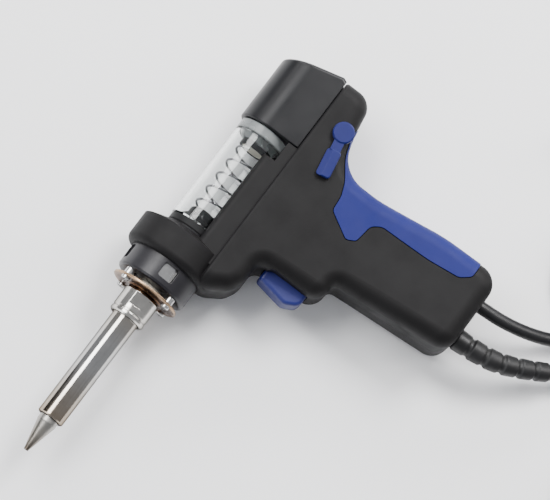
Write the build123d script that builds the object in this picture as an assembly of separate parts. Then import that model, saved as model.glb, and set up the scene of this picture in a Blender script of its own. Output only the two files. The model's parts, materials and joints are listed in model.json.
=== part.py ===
from build123d import *
import math
import os

# ---------------------------------------------------------------------------
# Vacuum desoldering gun, lying on its right side.
# Gun axes: u runs along the barrel from the nozzle tip to the rear, v points
# up from the barrel axis, w points to the gun's left side.
# Row axes: X is u, Y is v, Z is w, moved so that the origin is the bottom
# centre of the gun's box. All sizes are in millimetres.
# ---------------------------------------------------------------------------

# Driving dimensions
LENGTH = 210.0            # nozzle tip to the rear of the cap
TOP_V = 21.0              # collar top above the barrel axis
BUTT_V = -118.2           # handle butt below the barrel axis
HALF_WIDTH = 19.5         # collar side and lever hubs
LEDGE_V = -14.8           # flat top of the lower body
BODY_REAR = 209.3
BODY_HALF = 16.8          # lower body half-width
NECK_HALF = 15.2          # handle half-width below the trigger
BUTT_HALF = 18.6          # handle half-width at the butt
WALL = 2.8                # housing wall
EDGE_R = 7.0              # rounding of the housing's long edges
GRIP_PROUD = 0.25         # blue inserts stand out by this much
GRIP_DEPTH = 1.4          # blue inserts reach this deep
GROOVE = 0.3              # gap round the blue inserts

TUBE_R = 6.15             # heater tube
TUBE_FRONT = 16.8
TUBE_REAR = 71.6
NUT_R = 8.3
FLANGE_R = 16.1
FLANGE_U = 83.6
SLEEVE_R = 16.8
SLEEVE_FRONT = 87.4
COLLAR_FRONT = 98.6
SCREW_RING = 13.9         # flange screws stand on this radius
SCREW_TURN = 48.5         # their angle from the side, degrees
BOSS_PULL = 0.97          # their bosses sit slightly nearer to the axis
WINDOW_TURN = 11.3        # the sleeve's windows, degrees from its left side

GLASS_R = 12.15
GLASS_BORE = 10.35
GLASS_FRONT = 119.9
GLASS_REAR = 167.0
TROUGH_R = 12.75
CRADLE_V = -4.5           # top edge of the cradle beside the glass
CRADLE_HALF = 15.0
SPRING_R = 6.5
SPRING_WIRE = 1.0

CAP_R = 13.5
CAP_WALL = 2.0
CAP_FRONT = 172.0
CAP_GAP = 0.3             # cap above the ledge
CAP_FOOT_CUT = 1.0        # its lowest edge stands this far in front of its rear
LEVER_U = 188.5
LEVER_V = -26.6
LEVER_TURN = 60.0
CRANK_R = 6.0
SHAFT_R = 2.0
ELBOW_U = 199.0           # fixed vacuum pipe behind the rear holder

TRIGGER_HALF = 6.5
TRIGGER_TRAVEL = 2.5
BAY_U = 123.8             # rear wall of the trigger bay
BAY_TOP = -34.4
BAY_FLOOR = -56.7
SWITCH_V = -43.0          # middle of the switch's plunger

CORD_D = 6.0
HOSE_D = 6.0
CORD_U = 150.4            # where the power cord enters the butt
HOSE_U = 167.9            # where the vacuum hose enters it
CORD_COIL_R = 33.0        # middle of the turns
HOSE_COIL_R = 31.5
CORD_COIL_AT = (35.0, -186.0)
HOSE_COIL_AT = (121.0, -123.0)

PLACE = Location((-LENGTH / 2, -(TOP_V + BUTT_V) / 2, HALF_WIDTH))


# ---------------------------------------------------------------------------
# Helpers
# ---------------------------------------------------------------------------
def save(node, shape, in_row=False):
    """Write one node. Gun-frame shapes are moved to the row frame."""
    solids = shape.solids()
    moved = [s if in_row else s.moved(PLACE) for s in solids]
    whole = moved[0] if len(moved) == 1 else Compound(children=moved)
    export_step(whole, f"parts/{node}.step")


def outline(corners):
    """Closed flat face from (x, y, radius) corners."""
    points = [(x, y) for x, y, _ in corners]
    return make_face(FilletPolyline(*points, radius=[r for *_, r in corners], close=True))


def lathe(profile):
    """Turn (u, radius) points about the barrel axis."""
    return revolve(make_face(Polyline(*profile, close=True)), Axis.X)


def bar_up(radius, length):
    """Round bar standing on the origin."""
    return Cylinder(radius, length, align=(Align.CENTER, Align.CENTER, Align.MIN))


def rod(u0, u1, radius, v=0.0, w=0.0):
    """Round bar along u."""
    return Pos(u0, v, w) * Rot(0, 90, 0) * bar_up(radius, u1 - u0)


def tube(u0, u1, outer, bore, v=0.0, w=0.0):
    return rod(u0, u1, outer, v, w) - rod(u0 - 1, u1 + 1, bore, v, w)


def pillar(u, v, w0, w1, radius):
    """Round bar along w."""
    return Pos(u, v, w0) * bar_up(radius, w1 - w0)


def post(u, w, v0, v1, radius):
    """Round bar along v."""
    return Pos(u, v0, w) * Rot(-90, 0, 0) * bar_up(radius, v1 - v0)


def block(u0, u1, v0, v1, w0, w1):
    return Pos((u0 + u1) / 2, (v0 + v1) / 2, (w0 + w1) / 2) * Box(u1 - u0, v1 - v0, w1 - w0)


def group(shapes):
    """One compound of the separate solids of several shapes."""
    return Compound(children=[solid for shape in shapes for solid in shape.solids()])


def plate(face, w0, w1):
    """A face of the side view, made into a plate between two widths."""
    return extrude(Pos(0, 0, w0) * face, w1 - w0)


def route(points):
    """Straight runs joined by arcs as large as the runs allow, and their radii."""
    radii = []
    for a, b, c in zip(points, points[1:], points[2:]):
        before = Vector(b) - Vector(a)
        after = Vector(c) - Vector(b)
        half_turn = math.radians(before.get_angle(after)) / 2
        radii.append(0.45 * min(before.length, after.length) / math.tan(half_turn))
    return FilletPolyline(*points, radius=radii), radii


def wire_tube(points, radius, bore=0.0):
    """Round lead or hose swept along a route."""
    path, radii = route(points)
    start = Plane(origin=points[0], z_dir=Vector(points[1]) - Vector(points[0]))
    section = start * Circle(radius)
    if bore:
        section -= start * Circle(bore)
    return sweep(section, path=path), radii, path.length


# ---------------------------------------------------------------------------
# Front end, all turned parts
# ---------------------------------------------------------------------------
def nozzle():
    outer = [
        (0.0, 0.5), (0.0, 1.05), (1.2, 1.25), (13.6, 4.2), (14.4, 4.45), (16.6, 4.45),
        (16.6, 4.0), (18.0, 4.0), (18.0, 5.3), (20.4, 5.3), (20.4, 3.1), (26.0, 3.1),
        (26.0, 1.3), (6.0, 1.3), (4.4, 0.5),
    ]
    return lathe(outer)


def heater_tube():
    """Polished tube, with a shoulder and a flange that the nut holds."""
    seat = TUBE_REAR - 1.7
    shoulder = TUBE_R + 0.4
    bore = TUBE_R - 0.5
    profile = [
        (TUBE_FRONT, 4.6), (TUBE_FRONT, 5.7), (TUBE_FRONT + 0.5, TUBE_R), (seat, TUBE_R),
        (seat, shoulder), (TUBE_REAR, shoulder), (TUBE_REAR, 7.1), (TUBE_REAR + 1.2, 7.1),
        (TUBE_REAR + 1.2, bore), (TUBE_FRONT + 1.1, bore), (TUBE_FRONT + 1.1, 4.6),
    ]
    return lathe(profile)


def retaining_nut():
    front = TUBE_REAR - 1.4
    bore = TUBE_R + 0.6
    profile = [
        (front, bore), (front, 7.6), (front + 0.7, NUT_R), (front + 1.9, NUT_R),
        (front + 2.2, NUT_R - 0.35), (front + 2.9, NUT_R - 0.35), (front + 3.2, NUT_R),
        (81.8, NUT_R), (82.5, NUT_R - 0.6), (82.5, 7.3),
        (TUBE_REAR - 0.1, 7.3), (TUBE_REAR - 0.1, bore),
    ]
    nut = lathe(profile)
    flats = Box(6.0, 2 * NUT_R + 2, 2 * NUT_R + 2) - Box(8.0, 2 * NUT_R + 4, 2 * NUT_R - 1.1)
    return nut - Pos(78.6, 0, 0) * flats


def heater_flange():
    front = TUBE_REAR + 1.3
    profile = [
        (front, 5.55), (front, 7.2), (FLANGE_U - 0.9, 7.2), (FLANGE_U - 0.4, 8.6), (FLANGE_U, 8.9),
        (FLANGE_U, FLANGE_R - 0.5), (FLANGE_U + 0.25, FLANGE_R), (FLANGE_U + 1.0, FLANGE_R),
        (FLANGE_U + 1.0, 5.55),
    ]
    flange = lathe(profile)
    for v, w in screw_spots():
        flange -= rod(FLANGE_U - 1, FLANGE_U + 2, 1.35, v, w)
    return flange


def screw_spots():
    """The four flange screws, as (v, w)."""
    rise = SCREW_RING * math.sin(math.radians(SCREW_TURN))
    side = SCREW_RING * math.cos(math.radians(SCREW_TURN))
    return [(sv * rise, sw * side) for sv in (1, -1) for sw in (1, -1)]


def flange_screws():
    made = []
    for v, w in screw_spots():
        head = fillet(rod(FLANGE_U - 1.5, FLANGE_U - 0.05, 2.0, v, w).edges().sort_by(Axis.X)[0], 0.7)
        head -= block(FLANGE_U - 2, FLANGE_U - 0.9, v - 0.25, v + 0.25, w - 1.3, w + 1.3)
        head -= block(FLANGE_U - 2, FLANGE_U - 0.9, v - 1.3, v + 1.3, w - 0.25, w + 0.25)
        made.append(head + rod(FLANGE_U - 0.2, SLEEVE_FRONT + 5.0, 1.25, v, w))
    return group(made)


def flange_spacers():
    made = [tube(FLANGE_U + 1.05, SLEEVE_FRONT - 0.05, 2.1, 1.35, v, w) for v, w in screw_spots()]
    return group(made)


def heater_core():
    profile = [(26.4, 2.05), (26.4, 4.9), (27.4, 5.4), (91.0, 5.4), (91.0, 4.6), (96.0, 4.6), (96.0, 2.05)]
    return lathe(profile)


def suction_tube():
    return tube(26.1, 114.8, 1.9, 1.3)


def heat_shield():
    """Bright tube behind the windows of the front sleeve, with a ring at its front."""
    front = SLEEVE_FRONT + 2.1
    shield = tube(front, 103.6, 14.4, 14.0) + tube(front, front + 0.5, 14.4, 11.2)
    for v, w in screw_spots():
        shield -= rod(front - 1, front + 6, 2.9, v * BOSS_PULL, w * BOSS_PULL)
    return shield


def front_sleeve():
    front = SLEEVE_FRONT
    rear = COLLAR_FRONT + 5.6
    inner = 14.7
    profile = [
        (front, 6.2), (front, SLEEVE_R - 1.3), (front + 0.4, SLEEVE_R - 0.5), (front + 1.3, SLEEVE_R),
        (rear, SLEEVE_R), (rear, inner), (front + 2.0, inner), (front + 2.0, 6.2),
    ]
    sleeve = lathe(profile)
    for v, w in screw_spots():
        boss = rod(front + 1.9, front + 5.6, 2.6, v * BOSS_PULL, w * BOSS_PULL)
        sleeve += boss & rod(front, rear, inner + 0.2)
    for v, w in screw_spots():
        sleeve -= rod(front - 1, front + 5.1, 1.3, v, w)
    window = extrude(RectangleRounded(7.0, 7.4, 1.2), 6.0)
    for i in range(4):
        aim = Rot(90.0 * i + WINDOW_TURN, 0, 0)
        sleeve -= aim * Pos(front + 7.0, 0, 13.2) * window
    for i in range(8):
        aim = Rot(45.0 * (i + 0.5) + WINDOW_TURN, 0, 0)
        sleeve -= aim * rod(front - 0.1, front + 2.1, 1.1, 0.0, 9.6)
    return sleeve


def front_holder():
    """Black socket that carries the front seal and the end of the suction tube."""
    profile = [
        (110.9, 1.95), (110.9, 13.2), (112.2, 13.2), (112.2, 11.65), (116.4, 11.65), (116.4, 6.6),
        (126.4, 6.6), (127.6, 5.4), (127.6, 2.0), (115.0, 2.0), (115.0, 1.95),
    ]
    return lathe(profile)


def front_seal():
    profile = [
        (116.5, 6.7), (116.5, 11.3), (116.9, 11.7), (119.8, 11.7), (119.8, 10.15), (120.4, 10.15),
        (123.2, 7.4), (123.2, 6.7),
    ]
    return lathe(profile)


# ---------------------------------------------------------------------------
# Filter tube and what is in it
# ---------------------------------------------------------------------------
def filter_tube():
    middle = (GLASS_R + GLASS_BORE) / 2
    profile = [
        (GLASS_FRONT, GLASS_BORE), (GLASS_FRONT, middle), (GLASS_FRONT + 0.5, GLASS_R),
        (GLASS_REAR - 0.5, GLASS_R), (GLASS_REAR, middle), (GLASS_REAR, GLASS_BORE),
    ]
    return lathe(profile)


def coil_spring(start, length, radius, wire, pitch, v=0.0):
    """Wound wire along the barrel's direction."""
    coil = Helix(pitch=pitch, height=length, radius=radius)
    section = Plane(origin=coil @ 0, z_dir=coil % 0) * Circle(wire)
    made = sweep(section, path=coil, is_frenet=True)
    return Pos(start, v, 0) * Rot(0, 90, 0) * made


def solder_spring():
    return coil_spring(128.4, 32.6, SPRING_R, SPRING_WIRE / 2, 7.3)


def filter_ring():
    return tube(162.0, 164.3, 6.9, 5.6)


def paper_filter():
    return rod(162.2, 164.1, 5.5)


def rear_seal():
    profile = [
        (164.6, 5.1), (164.6, 7.4), (166.9, 10.1), (167.25, 10.1), (167.25, 11.6), (167.7, 12.0),
        (171.4, 12.0), (171.8, 11.6), (171.8, 5.1),
    ]
    return lathe(profile)


# ---------------------------------------------------------------------------
# Rear cap, which slides back to free the filter tube
# ---------------------------------------------------------------------------
def arch(radius, floor):
    """Tunnel section in the (w, v) plane, looking along the barrel."""
    round_top = Circle(radius)
    legs = Pos(0, floor / 2) * Rectangle(2 * radius, -floor)
    return round_top + legs


def along_barrel(section, u0, u1):
    """Extrude a (w, v) section from u0 to u1."""
    frame = Plane(origin=(u0, 0, 0), x_dir=(0, 0, -1), z_dir=(1, 0, 0))
    return extrude(frame * section, u1 - u0)


def slanted_rear(shift):
    """Everything in front of the cap's sloping rear face, moved by shift."""
    rear = LENGTH + shift
    foot = rear - CAP_FOOT_CUT
    corners = [(100, -40, 0), (foot, -40, 0), (foot, LEDGE_V, 0), (rear, -12.6, 1.6),
               (rear - 6.9, 14.6, 0), (100, 14.6, 0)]
    return plate(outline(corners), -30, 30)


def rear_cap():
    floor = LEDGE_V + CAP_GAP
    body = along_barrel(arch(CAP_R, floor), CAP_FRONT, LENGTH + 2) & slanted_rear(0)
    rear_edges = [e for e in body.edges() if e.center().X > LENGTH - 12 and abs(e.center().Y - floor) > 0.5]
    body = fillet([e for e in rear_edges if e.bounding_box().min.X > LENGTH - 12], 1.5)
    inner_r = CAP_R - CAP_WALL
    inner = along_barrel(arch(inner_r, floor - 1), CAP_FRONT + 2.0, LENGTH) & slanted_rear(-CAP_WALL)
    cap = body - inner - rod(CAP_FRONT - 1, CAP_FRONT + 3, 5.65)
    front_rim = [e for e in cap.edges().filter_by(GeomType.CIRCLE)
                 if abs(e.center().X - CAP_FRONT) < 0.1 and abs(e.radius - CAP_R) < 0.1]
    return chamfer(front_rim, 0.6)


def rear_holder():
    """Nozzle behind the rear seal, with the fork that the lever's crank moves."""
    profile = [
        (165.6, 1.9), (165.6, 4.6), (166.4, 5.0), (CAP_FRONT - 0.1, 5.0), (CAP_FRONT - 0.1, 5.55),
        (CAP_FRONT + 2.1, 5.55), (CAP_FRONT + 2.1, 9.0), (CAP_FRONT + 3.6, 9.0), (CAP_FRONT + 3.6, 5.5),
        (188.6, 5.5), (188.6, 3.06), (177.0, 3.06), (177.0, 1.9),
    ]
    holder = lathe(profile)
    pin_u = LEVER_U - CRANK_R * math.sin(math.radians(LEVER_TURN / 2))
    leg = block(pin_u - 3.3, pin_u + 3.3, -24.2, -4.6, -3.0, 3.0)
    slot = block(pin_u - 1.7, pin_u + 1.7, -26.0, -18.9, -4.0, 4.0)
    return holder + (leg - slot - rod(170, 200, 5.0))


def cap_spring():
    """Return spring above the holder, with room for the cap's travel behind it."""
    return coil_spring(CAP_FRONT + 4.1, 12.2, 2.0, 0.4, 2.2, 8.4)


def vacuum_elbow():
    """Fixed pipe: the rear holder slides on it, and the inner hose leaves below."""
    stub = rod(184.0, ELBOW_U, 3.0)
    column = post(ELBOW_U, 0.0, -19.0, 3.4, 3.9) + post(ELBOW_U, 0.0, 3.0, 9.8, 2.6)
    foot = block(ELBOW_U - 3.8, ELBOW_U + 3.8, -24.0, -18.0, -3.9, 12.4)
    barb = rod(190.4, 195.4, 1.9, -20.8, 9.3)
    fitting = stub + column + foot + barb
    fitting -= rod(183.0, ELBOW_U, 1.6)
    fitting -= post(ELBOW_U, 0.0, -20.8, 0.0, 1.6)
    fitting -= pillar(ELBOW_U, -20.8, -1.6, 10.4, 1.6)
    fitting -= rod(189.0, ELBOW_U, 1.2, -20.8, 9.3)
    return fitting


# ---------------------------------------------------------------------------
# Housing
# ---------------------------------------------------------------------------
def side_profile(grow):
    """Side view of the lower body and handle, grown outwards by grow."""
    corners = [
        (99.5, 10.0, 0), (99.5, -20.0, 8), (104.8, -28.2, 8), (110.8, -31.2, 10), (122.0, -31.2, 4),
        (124.4, -62.2, 7.6), (134.8, -62.2, 3), (138.9, -108.0, 30), (139.6, BUTT_V, 8),
        (180.0, BUTT_V, 9), (180.2, -88.0, 90), (176.0, -56.0, 60), (176.0, -36.1, 15),
        (190.0, -31.6, 30), (BODY_REAR, -28.6, 8.4), (BODY_REAR, 10.0, 0),
    ]
    return offset(outline(corners), grow)


def front_profile(grow):
    """Front view of the lower body and handle: half-width against height."""
    knots = [
        (BODY_HALF, 0.0), (BODY_HALF, -22.0), (BODY_HALF - 0.5, -36.0), (NECK_HALF, -58.0),
        (NECK_HALF + 0.8, -78.0), (BUTT_HALF - 0.5, -104.0), (BUTT_HALF, -122.0),
    ]
    right = [(half + grow, v) for half, v in knots]
    left = [(-half, v) for half, v in reversed(right)]
    edges = Spline(*right) + Line(right[-1], left[0]) + Spline(*left) + Line(left[-1], right[0])
    return make_face(edges)


def handle_body(grow):
    """Lower body and handle as one rounded solid, up to the ledge."""
    side = plate(side_profile(grow), -40, 40)
    front = along_barrel(front_profile(grow), 80, 230)
    top = LEDGE_V + grow
    body = side & front & block(90, 220, -140, top, -30, 30)
    long_edges = [
        e for e in body.edges()
        if abs(e.center().Z) > 9 and e.center().Y < top - 0.3 and abs((e @ 0).Z + (e @ 1).Z) > 1e-3
    ]
    body = fillet(long_edges, EDGE_R + min(grow, 0.0))
    if grow:
        return body
    rim = [e for e in body.edges() if abs(e.center().Y - top) < 0.01 and abs(e.center().Z) > 9]
    return fillet(rim, 1.3)


def obround(radius, rise):
    """Upright slot shape in the (w, v) plane."""
    ends = Pos(0, rise) * Circle(radius) + Pos(0, -rise) * Circle(radius)
    return ends + Rectangle(2 * radius, 2 * rise)


def collar():
    rise = TOP_V - HALF_WIDTH
    ring = along_barrel(obround(HALF_WIDTH, rise), COLLAR_FRONT, 112.6)
    ring = fillet(ring.edges().group_by(Axis.X)[0], 3.4)
    frame = Plane(origin=(112.6, 0, 0), x_dir=(0, 0, -1), z_dir=(1, 0, 0))
    slope = loft([frame * obround(HALF_WIDTH, rise), frame.offset(3.6) * obround(10.6, 0.9)], ruled=True)
    return ring + slope


def cradle():
    """Trough walls beside the filter tube."""
    tall = CRADLE_V - LEDGE_V + 3.0
    section = Pos(0, CRADLE_V - tall / 2) * Rectangle(2 * CRADLE_HALF, tall)
    section = fillet(section.vertices().group_by(Axis.Y)[-1], 3.0)
    walls = along_barrel(section, 108.0, CAP_FRONT - 0.6)
    return walls - block(161.3, 180.0, -10.2, 5.0, -20.0, 20.0)


def bay():
    """Space that the trigger stands in, open to the front."""
    corners = [(90, BAY_TOP, 0), (BAY_U, BAY_TOP, 5.0), (BAY_U, BAY_FLOOR, 0), (90, BAY_FLOOR, 0)]
    return plate(outline(corners), -30, 30)


SCREWS = [(109.0, -25.8), (131.0, -26.2), (160.0, -23.0), (145.2, -62.5), (170.0, -60.0),
          (144.6, -90.0), (160.6, -108.5)]


def housing():
    """Both halves in one piece, before the split."""
    outer = handle_body(0) + collar() + cradle()
    outer += block(181.0, LENGTH - CAP_WALL - CAP_FOOT_CUT - 0.3, LEDGE_V - 1, -12.8, -11.1, 11.1)
    cavity = handle_body(-WALL) & block(105.2, 220, -140, 0, -30, 30)
    shell = outer - cavity
    shell += housing_ribs() & handle_body(-WALL / 2)
    shell -= bay()
    shell -= rod(90, COLLAR_FRONT + 5.8, SLEEVE_R + 0.15)
    shell -= rod(100, 110.8, 15.2)
    shell -= rod(110.7, 112.3, 13.3)
    shell -= rod(112, 118, 11.7)
    shell -= rod(116.4, 180, TROUGH_R)
    shell -= block(105.2, 110.6, -21.0, -10.0, -9.0, 9.0)
    slot_half = TRIGGER_HALF + 0.3
    shell -= block(110, 128.5, BAY_FLOOR + 0.3, BAY_TOP - 0.2, -slot_half, slot_half)
    shell -= block(181.6, 195.0, -20, -10, -3.4, 3.4)
    shell -= post(ELBOW_U, 0.0, -20, -10, 4.0)
    shell -= pillar(LEVER_U, LEVER_V, -30, 30, SHAFT_R + 0.07)
    shell -= post(CORD_U, 0.0, -125, -110, 5.4)
    shell -= post(HOSE_U, 0.0, -125, -110, 3.25)
    return shell


def housing_ribs():
    """Screw bosses, board pegs, shaft bearings and the stop of the trigger spring."""
    ribs = Part()
    for u, v in SCREWS:
        ribs += pillar(u, v, 0, 20, 3.2) + pillar(u, v, -20, 0, 3.6)
    for w0, w1 in ((12.7, 20.0), (-20.0, -6.2)):
        ribs += pillar(LEVER_U, LEVER_V, w0, w1, 4.0)
    for v in (-66.0, -84.0):
        ribs += pillar(153.0, v, -20, -7.1, 1.6)
    ribs += block(142.0, 143.6, -56.0, -51.4, -20, 20)
    ribs += block(137.4, 138.8, -51.0, -48.0, -20, 20)
    ribs += block(151.2, 152.6, -51.0, -48.0, -20, 20)
    return ribs


def screw_holes():
    holes = Part()
    for u, v in SCREWS:
        holes += pillar(u, v, -1, 10.0, 1.35)
        holes += pillar(u, v, -11, 0, 1.5)
        holes += pillar(u, v, -25, -10.0, 2.8)
    return holes


def housing_screws():
    made = []
    for u, v in SCREWS:
        head = pillar(u, v, -12.0, -10.05, 2.5)
        head -= pillar(u, v, -12.5, -11.0, 0.45)
        head -= Pos(u, v, -11.5) * (Box(3.0, 0.6, 1.1) + Box(0.6, 3.0, 1.1))
        made.append(head + pillar(u, v, -10.1, 9.0, 1.3))
    return group(made)


def grip_outline(grow):
    corners = [
        (158.9, -42.4, 3), (152.0, -54.6, 2.5), (154.4, -58.8, 2.5), (163.4, -60.0, 4), (166.2, -64.0, 5),
        (166.4, -88.0, 60), (168.0, -103.0, 5), (171.8, -107.6, 3), (190.0, -107.6, 0), (190.0, -60.0, 0),
        (205.0, -45.0, 0), (205.0, -32.0, 0), (191.0, -30.0, 0), (181.0, -33.4, 20), (172.0, -39.4, 14),
        (166.0, -41.8, 10),
    ]
    return plate(offset(outline(corners), grow), -40, 40)


def grips():
    """Blue inserts let into the back of the handle, one on each half."""
    skin = handle_body(GRIP_PROUD) - handle_body(-GRIP_DEPTH)
    insert = skin & grip_outline(-GROOVE)
    return insert & block(90, 230, -140, 0, 0.03, 30), insert & block(90, 230, -140, 0, -30, -0.03)


def grip_pocket():
    return (handle_body(2.0) - handle_body(-GRIP_DEPTH - 0.05)) & grip_outline(0.0)


# ---------------------------------------------------------------------------
# Trigger and its switch
# ---------------------------------------------------------------------------
def trigger():
    top, floor = BAY_TOP - 0.5, BAY_FLOOR + 0.6
    corners = [(118.1, top, 1.6), (117.2, -40.0, 30), (115.5, -50.0, 5), (118.8, floor, 4.5),
               (129.2, floor, 0), (129.2, top, 0)]
    body = plate(outline(corners), -TRIGGER_HALF, TRIGGER_HALF)
    side_edges = [e for e in body.edges() if abs(e.center().Z) > 6 and e.center().X < 128]
    body = fillet([e for e in side_edges if abs((e @ 0).Z - (e @ 1).Z) < 1e-6], 1.6)
    body += block(127.2, 129.2, -54.5, -37.0, -8.6, 8.6)
    return body + block(129.0, 133.0, -54.0, -37.5, -5.5, 5.5)


def trigger_spring():
    return coil_spring(133.45, 5.2, 1.3, 0.3, 1.3, -52.9)


def switch_body():
    case = block(139.0, 151.0, -48.0, -38.0, -4.5, 4.5)
    case += block(140.5, 149.5, -50.6, -47.9, -1.2, 1.2)
    case -= rod(138.0, 144.6, 1.66, SWITCH_V)
    return case


def switch_plunger():
    return rod(133.4, 141.6, 1.6, SWITCH_V)


# ---------------------------------------------------------------------------
# Lock lever
# ---------------------------------------------------------------------------
def lever(side):
    """Hub and thumb bar, with one side of the bar sloping away."""
    inner = BODY_HALF + 0.3
    thick = HALF_WIDTH - inner
    hub = extrude(Circle(4.8), thick)
    hub = chamfer(hub.faces().sort_by(Axis.Z)[-1].edges(), 0.5)
    bar = extrude(Pos(-14.9, 0) * RectangleRounded(12.8, 6.4, 1.4), thick - 0.3)
    bar = chamfer(bar.faces().sort_by(Axis.Z)[-1].edges(), 0.4)
    bar -= Pos(-14.9, 2.37, thick - 0.12) * Rot(-28.3, 0, 0) * Box(14.0, 2.95, 2.0)
    neck = extrude(Pos(-6.5, 0) * Rectangle(5.0, 4.6), thick - 0.6)
    arm = hub + bar + neck - Cylinder(SHAFT_R + 0.03, 3.6)
    turned = Pos(LEVER_U, LEVER_V, inner) * Rot(0, 0, 10) * arm
    return turned if side > 0 else mirror(turned, about=Plane.XY)


def lever_shaft():
    """Shaft through the housing, with the crank that works the rear holder's fork."""
    reach = HALF_WIDTH - 0.7
    shaft = pillar(LEVER_U, LEVER_V, -reach, reach, SHAFT_R)
    lean = math.radians(90 + LEVER_TURN / 2)
    pin_u = LEVER_U + CRANK_R * math.cos(lean)
    pin_v = LEVER_V + CRANK_R * math.sin(lean)
    web = Rot(0, 0, 90 + LEVER_TURN / 2) * Pos(CRANK_R / 2, 0) * SlotOverall(CRANK_R + 3.8, 3.8)
    for w0 in (3.4, -5.2):
        shaft += Pos(LEVER_U, LEVER_V, w0) * extrude(web, 1.8)
    return shaft + pillar(pin_u, pin_v, -4.0, 4.0, 1.4)


# ---------------------------------------------------------------------------
# Inside the handle
# ---------------------------------------------------------------------------
def inner_hose():
    points = [(195.15, -20.8, 9.3), (184.0, -20.8, 9.3), (173.0, -24.5, 9.3), (165.0, -34.0, 8.8),
              (160.5, -46.0, 8.2), (158.0, -61.0, 7.4), (158.4, -75.0, 6.0), (163.0, -86.4, 2.8),
              (HOSE_U, -95.6, 0.0), (HOSE_U, -104.7, 0.0)]
    return wire_tube(points, 3.1, 2.25)[0]


def hose_joiner():
    made = post(HOSE_U, 0.0, -106.0, -105.0, 3.3) + post(HOSE_U, 0.0, -105.5, -102.4, 2.15)
    return made - post(HOSE_U, 0.0, -107.0, -100.0, 1.4)


def heater_leads():
    """A pair of leads from the heating core, over the trigger, to the terminal board."""
    made = []
    for side in (1, -1):
        line = [(96.2, -3.3, 0.9 * side), (101.6, -3.8, 1.4 * side), (106.8, -9.0, 2.6 * side),
                (108.2, -18.2, 3.6 * side), (116.0, -20.6, 4.0 * side), (131.0, -19.7, 4.0 * side),
                (144.0, -21.2, 3.4 * side), (152.4, -29.0, 2.6 * side), (157.4, -40.0, 1.6 * side - 0.6),
                (160.4 + side, -51.5, -3.6), (161.4 + 1.5 * side, -61.3, -6.2)]
        made.append(wire_tube(line, 0.8)[0])
    return group(made)


def switch_leads():
    made = []
    for side in (1, -1):
        line = [(151.5, -41.7, 1.6 * side), (153.9, -44.6, 1.4 * side - 0.6),
                (154.4 + 0.9 * side, -53.0, -3.4), (154.4 + 1.4 * side, -61.3, -6.2)]
        made.append(wire_tube(line, 0.6)[0])
    return group(made)


def supply_leads():
    made = []
    for side in (-1, 0, 1):
        line = [(CORD_U + 1.6 * side, -95.6, 0.0), (150.6 + 2.2 * side, -92.4, -1.6),
                (152.8 + 3.0 * side, -90.0, -4.4), (154.0 + 3.2 * side, -86.7, -6.2)]
        made.append(wire_tube(line, 0.7)[0])
    return group(made)


def terminal_board():
    return block(151.0, 165.0, -86.0, -62.0, -7.0, -5.4)


def cord_end():
    return post(CORD_U, 0.0, -112.1, -96.0, 2.9)


def cord_clamp():
    bar = block(144.8, 156.0, -106.0, -102.0, -5.0, 5.0)
    return bar - post(CORD_U, 0.0, -107.0, -101.0, 2.95)


# ---------------------------------------------------------------------------
# Cords, in the row frame
# ---------------------------------------------------------------------------
BOOT_ROUTE = [(45.4, -69.6, 19.5), (45.8, -83.0, 19.3), (51.0, -98.0, 16.6), (60.2, -111.5, 11.4)]
CORD_ROUTE = [(60.2, -111.5, 11.4), (67.2, -121.8, 7.4), (72.4, -135.0, 4.0), (74.4, -152.0, 3.4),
              (74.6, -170.0, 4.0), (74.0, -186.0, 4.0)]
CORD_TAIL = [(35.0, -222.0, 10.0), (20.0, -222.6, 9.8), (4.0, -222.0, 9.0)]
HOSE_ROUTE = [(62.9, -57.45, 19.5), (63.0, -74.0, 19.3), (65.6, -87.5, 16.0), (70.6, -99.5, 9.8),
              (76.6, -109.4, 5.2), (81.4, -119.6, 3.8), (84.0, -131.0, 4.0)]
HOSE_TAIL = [(152.5, -123.0, 10.0), (153.4, -106.0, 9.6), (153.0, -88.0, 7.4)]
COIL_FLOOR = 1.0
BOOT_RIBS = 6
BOOT_RIB_WIDTH = 6.3


def strain_relief():
    """Ribbed tapered boot on the power cord, with the collar that the butt holds."""
    path, radii = route(BOOT_ROUTE)
    print("strain relief radii", [round(r, 1) for r in radii], "length", round(path.length, 1))
    start = Plane(origin=BOOT_ROUTE[0], z_dir=(0, -1, 0))
    boot = sweep(start * Circle(3.5), path=path)
    for i in range(BOOT_RIBS):
        at = (i + 0.5) / BOOT_RIBS
        spot = Plane(origin=path @ at, z_dir=path % at)
        boot += extrude(spot * Circle(5.1 - 0.7 * at), BOOT_RIB_WIDTH / 2, both=True)
    collar_ring = post(CORD_U, 0.0, -115.3, -112.2, 6.0) - block(140, 145.6, -120, -110, -10, 10)
    return boot + PLACE * (post(CORD_U, 0.0, -118.3, -112.2, 5.3) + collar_ring)


def free_cord(name, diameter, *routes):
    made = []
    for points in routes:
        solid, radii, length = wire_tube(points, diameter / 2)
        print(name, "radii", [round(r, 1) for r in radii], "length", round(length, 1),
              "volume / section x length", round(solid.volume / (math.pi * diameter**2 / 4 * length), 4))
        made.append(solid)
    return group(made)


def coil_ring(centre, radius, diameter):
    """Outer shape of a coil three turns wide and two high."""
    section = Pos(radius, diameter) * RectangleRounded(3 * diameter, 2 * diameter, 0.45 * diameter)
    ring = revolve(Plane.XZ * section, Axis.Z)
    return Pos(centre[0], centre[1], COIL_FLOOR) * ring


def coil_tie(centre, radius, diameter, turn):
    wide, tall = 3 * diameter + 0.3, 2 * diameter + 0.2
    band = Box(wide + 1.6, 4.0, tall + 1.6) - Box(wide, 5.0, tall)
    head = Pos(wide / 2 + 1.6, 0, 0) * Box(2.4, 5.2, 4.2)
    tie = Pos(radius, 0, COIL_FLOOR + diameter) * (band + head)
    return Pos(centre[0], centre[1], 0) * Rot(0, 0, turn) * tie


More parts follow.
